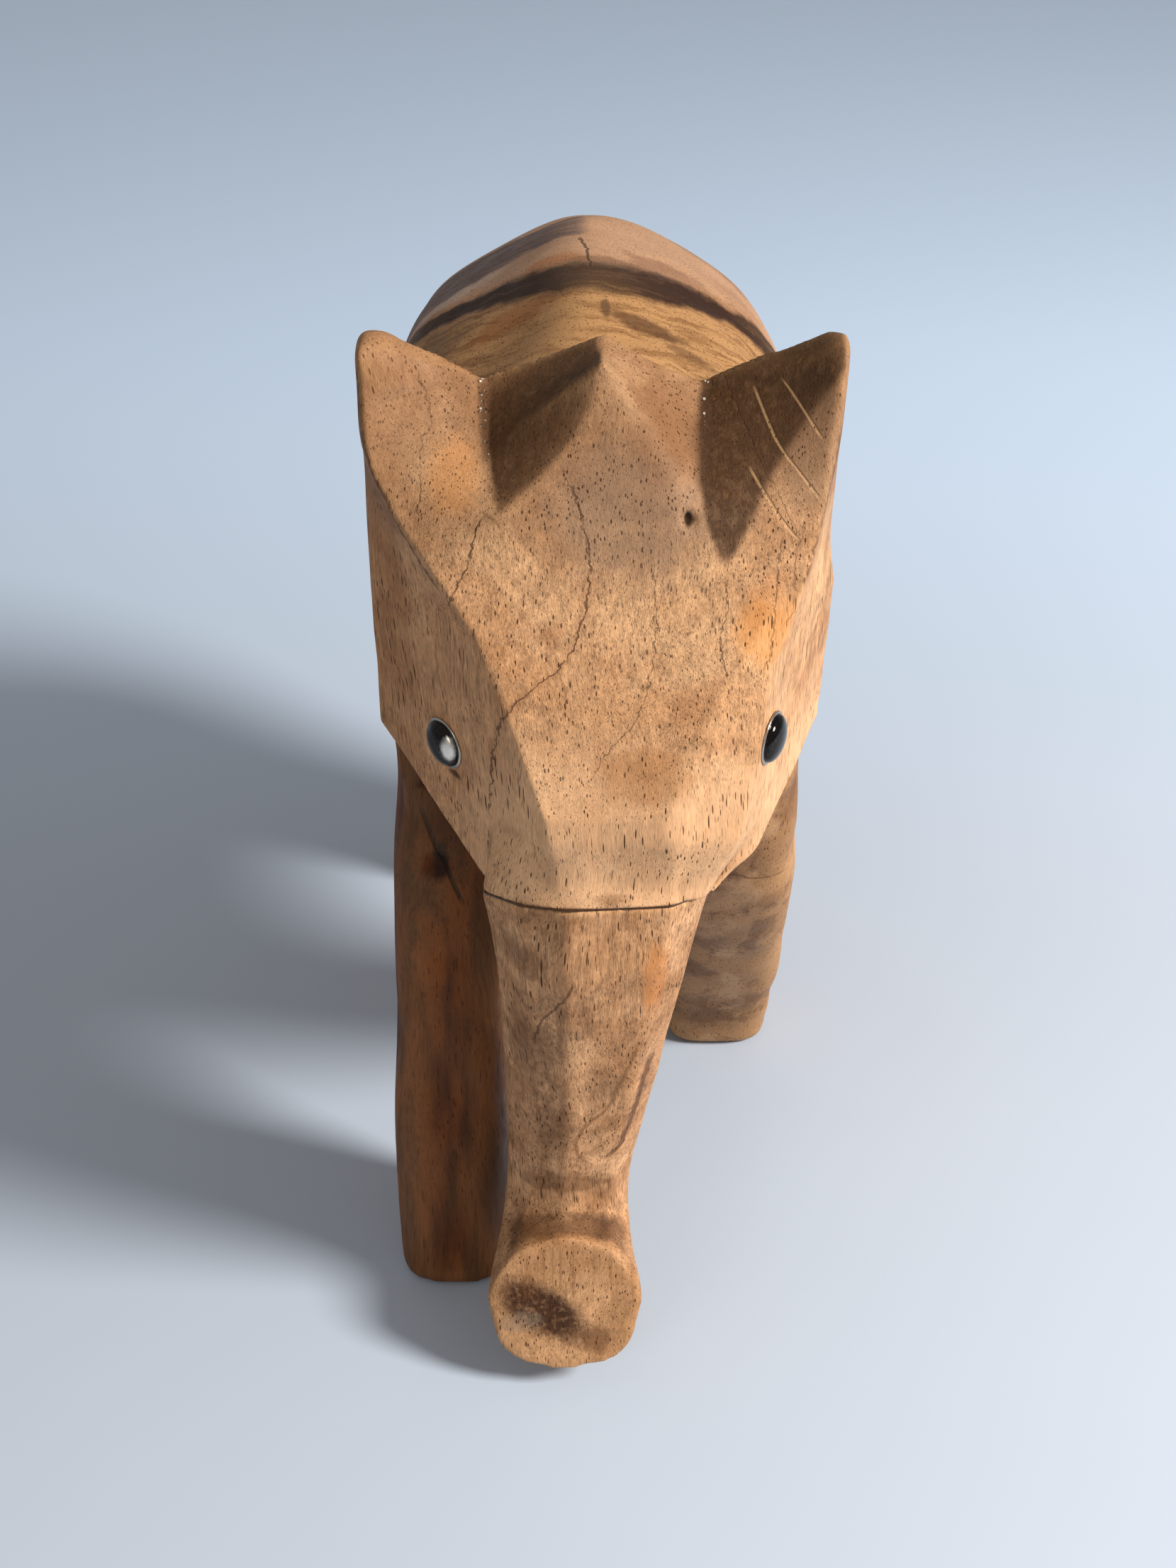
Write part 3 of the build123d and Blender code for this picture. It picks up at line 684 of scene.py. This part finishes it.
# --- torso --------------------------------------------------------------------------
def torso_features(g, place, xyz, colour, height):
    """Pale sapwood behind the head, a dark arch of heartwood, then pinkish brown wood; the forward leg is
    painted dark and reddish, a painted shadow of the head and trunk, and the one behind it is tan with
    dark blotches."""
    x, y, z = xyz
    wide = g.math("SQRT", g.math("MULTIPLY_ADD", x, x, 16.0))
    uneven = g.math("MULTIPLY_ADD", g.noise(place, 0.09, 4.0, 0.6), 10.0, -5.0)
    arch = g.math("SUBTRACT", g.math("SUBTRACT", y, 50.0), g.math("MULTIPLY", wide, 0.42))
    arch = g.math("ADD", arch, uneven)
    high = g.ease(z, 158, 188)
    streaky = g.noise(g.combine(g.math("MULTIPLY", arch, 0.55), g.math("MULTIPLY", x, 0.07),
                                g.math("MULTIPLY", z, 0.05)), 1.0, 4.0, 0.6)

    sap = g.math("MULTIPLY", g.ease(arch, -2.0, -7.0), high)
    colour = g.stain(colour, sap, 0.88, paint(166, 124, 80))
    colour = g.stain(colour, g.math("MULTIPLY", sap, g.ease(streaky, 0.42, 0.62)), 0.72,
                     paint(112, 74, 40))
    colour = g.blotches(colour, place, sap, (
        ((-16, 44, 229), (17, 6, 12), 0.55, (132, 76, 34)),
        ((10, 35, 231), (11, 4.5, 9), 0.75, (70, 42, 22)),
        ((18, 30, 227), (9, 3, 7), 0.6, (84, 54, 30)),
        ((-33, 50, 215), (12, 14, 14), 0.45, (96, 68, 42)),
        ((1.4, 36, 234), (1.2, 4.5, 5), 0.75, (60, 38, 24))))
    thick = g.math("MULTIPLY_ADD", g.ease(wide, 4.0, 28.0), -6.0, 10.5)
    band = g.math("DIVIDE", g.math("ABSOLUTE", arch), thick)
    band = g.math("MULTIPLY", g.ease(band, 1.15, 0.6), high)
    colour = g.stain(colour, band, g.ease(streaky, 0.25, 0.55, 0.7, 1.0), paint(46, 26, 14))
    rose = g.math("MULTIPLY", g.ease(arch, 3.0, 9.0), high)
    colour = g.stain(colour, rose, 0.7, paint(182, 142, 112))
    pale = g.math("MULTIPLY", g.spot(place, (-30, 76, 222), (14, 5, 14), 0.5), rose)
    colour = g.stain(colour, pale, 0.6, paint(182, 162, 146))
    colour = g.blotches(colour, place, rose, (
        ((-9, 62, 233), (9, 6, 7), 0.6, (150, 92, 46)),
        ((4, 60, 233), (15, 3.4, 6), 0.55, (96, 62, 40)),
        ((14, 66, 230), (17, 7, 9), 0.55, (112, 76, 54)),
        ((30, 76, 220), (12, 10, 12), 0.35, (132, 92, 66)),
        ((24, 112, 214), (18, 16, 16), 0.45, (110, 74, 50)),
        ((-20, 140, 196), (20, 13, 18), 0.4, (104, 70, 48))))
    across = g.math("ADD", g.math("ADD", y, -92.0), uneven)
    violet = g.math("MULTIPLY", g.ease(g.math("ABSOLUTE", across), 14.5, 11.5),
                    g.math("MULTIPLY", g.ease(x, -1.0, -5.0), high))
    colour = g.stain(colour, violet, g.ease(streaky, 0.3, 0.6, 0.6, 0.92), paint(84, 70, 70))
    far_band = g.math("MULTIPLY", g.ease(g.math("ABSOLUTE", g.math("SUBTRACT", arch, 74.0)), 9.0, 4.0),
                      g.ease(z, 110, 150))
    colour = g.stain(colour, far_band, g.ease(streaky, 0.35, 0.6, 0.2, 0.7), paint(92, 62, 44))
    check = g.trail(y, g.math("ADD", x, g.math("MULTIPLY_ADD", g.noise(place, 0.4), 2.0, -1.0)),
                    ((54, -1.6), (58, -1.8), (66, -2.4), (76.4, -4)), 0.45)
    check = g.math("MULTIPLY", check, high)
    colour = g.stain(colour, check, 0.8, paint(54, 34, 22))
    height = g.math("SUBTRACT", height, g.math("MULTIPLY", check, 0.15))

    low = g.ease(z, 165, 135)
    # Painted shadow: the forward leg is painted dark and reddish, for the shadow that the head and trunk
    # cast on it.
    forward = g.math("MULTIPLY", g.math("MULTIPLY", g.ease(x, -8, -16), g.ease(y, 75, 52)), low)
    colour = g.stain(colour, forward, 0.92, paint(106, 54, 16))
    redness = g.noise(g.stretch(place, 1, 1, 0.15), 0.16, 4.0)
    ruddy = g.math("MULTIPLY", forward, g.ease(redness, 0.36, 0.62))
    colour = g.stain(colour, ruddy, 0.8, paint(54, 28, 12))
    amber = g.math("MULTIPLY", g.spot(place, (-37, 9, 96), (5, 12, 14), 0.6), forward)
    colour = g.stain(colour, amber, 0.5, paint(132, 72, 26))
    knot = g.spot(place, (-33.5, 13, 119), (2.4, 8, 5.5), 0.8)
    colour = g.stain(colour, knot, 0.85, paint(22, 12, 8))
    split = g.trail(z, x, ((108, -29), (113.6, -31.1), (118.5, -33.2), (122.5, -35.1), (131, -38)), 0.8)
    split = g.math("MULTIPLY", split, g.ease(y, 32, 24))
    colour = g.stain(colour, split, 0.9, paint(22, 12, 8))

    back = g.math("MULTIPLY", g.math("MULTIPLY", g.ease(x, 8, 16), g.ease(y, 126, 116)), low)
    colour = g.stain(colour, back, 0.6, paint(176, 132, 88))
    shoulder = g.math("MULTIPLY", g.spot(place, (36, 26, 118), (18, 22, 22), 0.5), back)
    colour = g.stain(colour, shoulder, 0.5, paint(118, 80, 50))
    colour = g.blotches(colour, place, back, (
        ((27, 50, 66), (7, 12, 9), 0.6, (100, 62, 36)),
        ((24, 62, 46), (9, 14, 8), 0.7, (84, 52, 30)),
        ((42, 22, 126), (9, 14, 9), 0.6, (110, 70, 38)),
        ((28, 30, 112), (7, 12, 9), 0.6, (92, 58, 32)),
        ((40, 36, 92), (8, 12, 5), 0.4, (112, 74, 42)),
        ((46, 44, 78), (4, 12, 16), 0.4, (120, 78, 46)),
        ((30, 86, 16), (16, 14, 8), 0.6, (92, 60, 38)),
        ((44, 84, 34), (6, 14, 14), 0.5, (100, 64, 42))))
    along_leg = g.stretch(place, 1.0, 0.45, 0.6)
    patchy = g.math("MULTIPLY", g.ease(g.noise(along_leg, 0.11, 4.0, 0.62, 0.6), 0.5, 0.62), back)
    colour = g.stain(colour, patchy, 0.6, paint(92, 58, 34))
    pale_patch = g.math("MULTIPLY", g.ease(g.noise(along_leg, 0.08, 3.0), 0.46, 0.36), back)
    colour = g.stain(colour, pale_patch, 0.4, paint(206, 164, 122))
    seams = g.math("MAXIMUM", g.trail(x, z, ((24, 103), (30, 104.5), (35, 102.7), (44, 102.5)), 0.5),
                   g.trail(x, z, ((26, 64), (33, 60), (40, 62), (46, 68)), 0.5))
    seams = g.math("MULTIPLY", g.math("MULTIPLY", seams, back), g.ease(y, 60, 50))
    colour = g.stain(colour, seams, 0.55, paint(70, 42, 26))
    height = g.math("SUBTRACT", height, g.math("MULTIPLY", split, 0.3))
    return colour, height, 0.0


def make_torso():
    piece = dense_copy("torso", "torso_carving", 1.28 * MM)
    mesh = piece.data
    points, edges = read_points(mesh), read_edges(mesh)
    place = points - (0, TOE, 0)
    height = place[:, 2]
    joint_near = (1 - step(place[:, 1] - TORSO_FRONT, 0.3, 4)) * step(height, 125, 134)
    above_soles = step(height, 1.5, 6)
    points = relax(points, edges, 0.5 * (1 - joint_near), 12)
    points = relax(points, edges, 0.5 * step(height, 22, 78) * (1 - joint_near), 70)
    points = relax(points, edges, 0.5 * (1 - step(height, 5, 14)), 11)
    # The soles stay flat on the floor.
    points[:, 2] = np.where(points[:, 2] < 0.35, 0.0, points[:, 2])
    write_points(mesh, points)
    normals = read_normals(mesh)
    quiet = above_soles * (1 - joint_near)
    points = points + normals * (quiet * ripple(place, SEED + 2, 60, 18, 0.4))[:, None]
    points = dent(points, normals, (-35, TOE + 13, 117), 2.6, 1.4)
    points = keep_inside(points, "torso")
    write_points(mesh, points)
    mark_hollows(mesh, points, edges, 40)
    material = wood("torso_wood", paint(168, 124, 88), paint(120, 82, 52), PORE, (6, 30),
                    torso_features, 0.8, 0.6)
    finish_wood(piece, "torso", material)


# --- eyes, glue, dowels and nails ---------------------------------------------------
def metal(name, colour, roughness, scratch, glint_centre=None):
    """Plated metal; a painted reflection, a bright and rougher patch, may lie about one point."""
    g = Graph(name)
    place = g.millimetres()
    haze = g.noise(place, 0.9, 4.0)
    worn = g.noise(g.stretch(place, 3.0, 3.0, 0.6), 1.6, 3.0)
    colour = g.blend(g.ease(worn, 0.55, 0.72, 0.0, scratch), colour, paint(150, 148, 144))
    rough = g.ease(haze, 0.3, 0.7, roughness, roughness + 0.1)
    if glint_centre:
        # Painted reflection: a bright patch on the cap stands in for a reflection.
        glint_patch = g.spot(g.vector("SUBTRACT", place, (0, TOE, 0)), glint_centre, (1.9, 2.4, 2.9), 0.5)
        colour = g.stain(colour, glint_patch, 0.9, paint(246, 238, 226))
        rough = g.math("MULTIPLY_ADD", glint_patch, 0.24, rough)
    g.join(colour, g.shader.inputs["Base Color"])
    g.join(rough, g.shader.inputs["Roughness"])
    g.shader.inputs["Metallic"].default_value = 1.0
    return g.material


def make_eye(name, cap_material, rim_material):
    """A domed cap over a rolled rim, turned about the tack's own axis: the direction in
    which the CAD cap is thinnest, pointing forward."""
    radius, base, rise, turns = 4.9, 0.5, 2.26, 72
    points = read_points(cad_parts[name].data)
    middle = points.mean(0)
    thinnest = np.linalg.svd(points - middle, full_matrices=False)[2][2]
    axis = thinnest if thinnest[1] < 0 else -thinnest
    seat = (points @ axis).min()
    side = np.cross(axis, (0, 0, 1))
    side /= np.linalg.norm(side)
    up = np.cross(side, axis)
    centre = middle + axis * (seat - middle @ axis)
    rim = ((5.0, 0.02), (5.3, 0.0), (5.46, 0.1), (5.48, 0.26), (5.4, 0.42), (5.2, 0.48), (4.98, 0.46))
    slopes = np.linspace(0, math.pi / 2, 15)[:-1]
    dome = [(radius * math.cos(a), base + rise * math.sin(a)) for a in slopes]
    profile = rim + tuple(dome)
    verts, faces, slots = [], [], []
    for turn in range(turns):
        angle = 2 * math.pi * turn / turns
        out = side * math.cos(angle) + up * math.sin(angle)
        verts += [tuple((centre + out * r + axis * h) * MM) for r, h in profile]
    size = len(profile)
    for turn in range(turns):
        after = (turn + 1) % turns
        for k in range(size - 1):
            faces.append((turn * size + k, after * size + k, after * size + k + 1, turn * size + k + 1))
            slots.append(1 if k < len(rim) - 1 else 0)
    verts.append(tuple((centre + axis * (base + rise)) * MM))
    verts.append(tuple((centre + axis * rim[0][1]) * MM))
    for turn in range(turns):
        after = (turn + 1) % turns
        faces.append((turn * size + size - 1, after * size + size - 1, len(verts) - 2))
        faces.append((after * size, turn * size, len(verts) - 1))
        slots += [0, 1]
    mesh = bpy.data.meshes.new(name + "_cap")
    mesh.from_pydata(verts, [], faces)
    mesh.materials.append(cap_material)
    mesh.materials.append(rim_material)
    mesh.polygons.foreach_set("material_index", slots)
    mesh.shade_smooth()
    mesh.update()
    piece = bpy.data.objects.new(name + "_cap", mesh)
    bpy.context.scene.collection.objects.link(piece)
    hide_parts(name)
    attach(piece, "root")


def dress(names, material):
    """Gives CAD nodes that keep their shape a finished material."""
    for name in names:
        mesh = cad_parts[name].data
        mesh.materials.clear()
        mesh.materials.append(material)


def glue():
    g = Graph("dried_glue")
    place = g.millimetres()
    g.join(g.blend(g.noise(place, 0.4, 3.0), paint(70, 42, 24), paint(38, 22, 12)),
           g.shader.inputs["Base Color"])
    g.join(g.ease(g.noise(place, 1.1, 3.0), 0.3, 0.7, 0.16, 0.34), g.shader.inputs["Roughness"])
    return g.material


make_head()
make_trunk()
make_torso()
# The last point is where a painted reflection lies on the left eye's cap.
black_nickel = metal("black_nickel", paint(46, 42, 40), 0.05, 0.18, (-29.6, -6.6, 160))
bare_rim = metal("bare_rim", paint(176, 170, 160), 0.16, 0.6)
for side in ("left", "right"):
    make_eye(f"eye_{side}", black_nickel, bare_rim)
dress(("neck_glue", "trunk_glue"), glue())
dress(("neck_dowel_left", "neck_dowel_right", "trunk_dowel"),
      wood("dowel_wood", paint(206, 172, 122), paint(176, 138, 92), PORE, (40, 40), None, 0.5, 0.3))
dress(("eye_nail_left", "eye_nail_right"), metal("tack_shank", paint(150, 150, 152), 0.28, 0.3))


# --- floor, light and camera --------------------------------------------------------
def make_floor():
    half = 3.0
    mesh = bpy.data.meshes.new("floor")
    mesh.from_pydata([(-half, -half, 0), (half, -half, 0), (half, half, 0), (-half, half, 0)], [],
                     [(0, 1, 2, 3)])
    g = Graph("floor_paper")
    place = g.node("ShaderNodeTexCoord").outputs["Object"]
    near = g.blend(g.noise(place, 6.0, 3.0), paint(174, 184, 199), paint(180, 190, 204))
    # Painted light: the floor is painted paler and bluer toward the back, for the brighter light there.
    g.join(g.blend(g.ease(g.split(place)[1], 0.0, 0.55), near, paint(204, 224, 248)),
           g.shader.inputs["Base Color"])
    g.shader.inputs["Roughness"].default_value = 0.7
    mesh.materials.append(g.material)
    floor = bpy.data.objects.new("floor", mesh)
    bpy.context.scene.collection.objects.link(floor)


def make_lamp(name, place, target, size, watts, colour):
    light = bpy.data.lights.new(name, "AREA")
    light.shape = "DISK"
    light.size = size
    light.energy = watts
    light.color = colour
    lamp = bpy.data.objects.new(name, light)
    lamp.location = place
    lamp.rotation_euler = (Vector(target) - Vector(place)).to_track_quat("-Z", "Y").to_euler()
    bpy.context.scene.collection.objects.link(lamp)


def make_camera():
    """Looks down on the face from in front of the forward toe."""
    aside, ahead, above, downward = -2, 348, 384, 34.2
    data = bpy.data.cameras.new("camera")
    data.sensor_fit = "VERTICAL"
    data.sensor_height = 24.0
    data.lens = data.sensor_height * FOCAL_PIXELS / VERTICAL_PIXELS
    data.clip_start = 0.01
    camera = bpy.data.objects.new("camera", data)
    camera.location = (aside * MM, (TOE - ahead) * MM, above * MM)
    camera.rotation_euler = (math.radians(90 - downward), 0, 0)
    bpy.context.scene.collection.objects.link(camera)
    bpy.context.scene.camera = camera


make_floor()
chest = (0.0, -0.04, 0.12)
make_lamp("key", (0.86, -0.42, 0.8), chest, 0.3, 23.0, (1.0, 0.96, 0.9))
make_lamp("fill", (-0.6, -1.05, 0.75), chest, 0.6, 2.2, (1.0, 0.97, 0.94))
world = bpy.data.worlds.new("studio")
world.use_nodes = True
world.node_tree.nodes["Background"].inputs["Color"].default_value = (1.0, 0.98, 0.96, 1)
world.node_tree.nodes["Background"].inputs["Strength"].default_value = 0.36
bpy.context.scene.world = world
bpy.context.scene.view_settings.view_transform = "Standard"
make_camera()
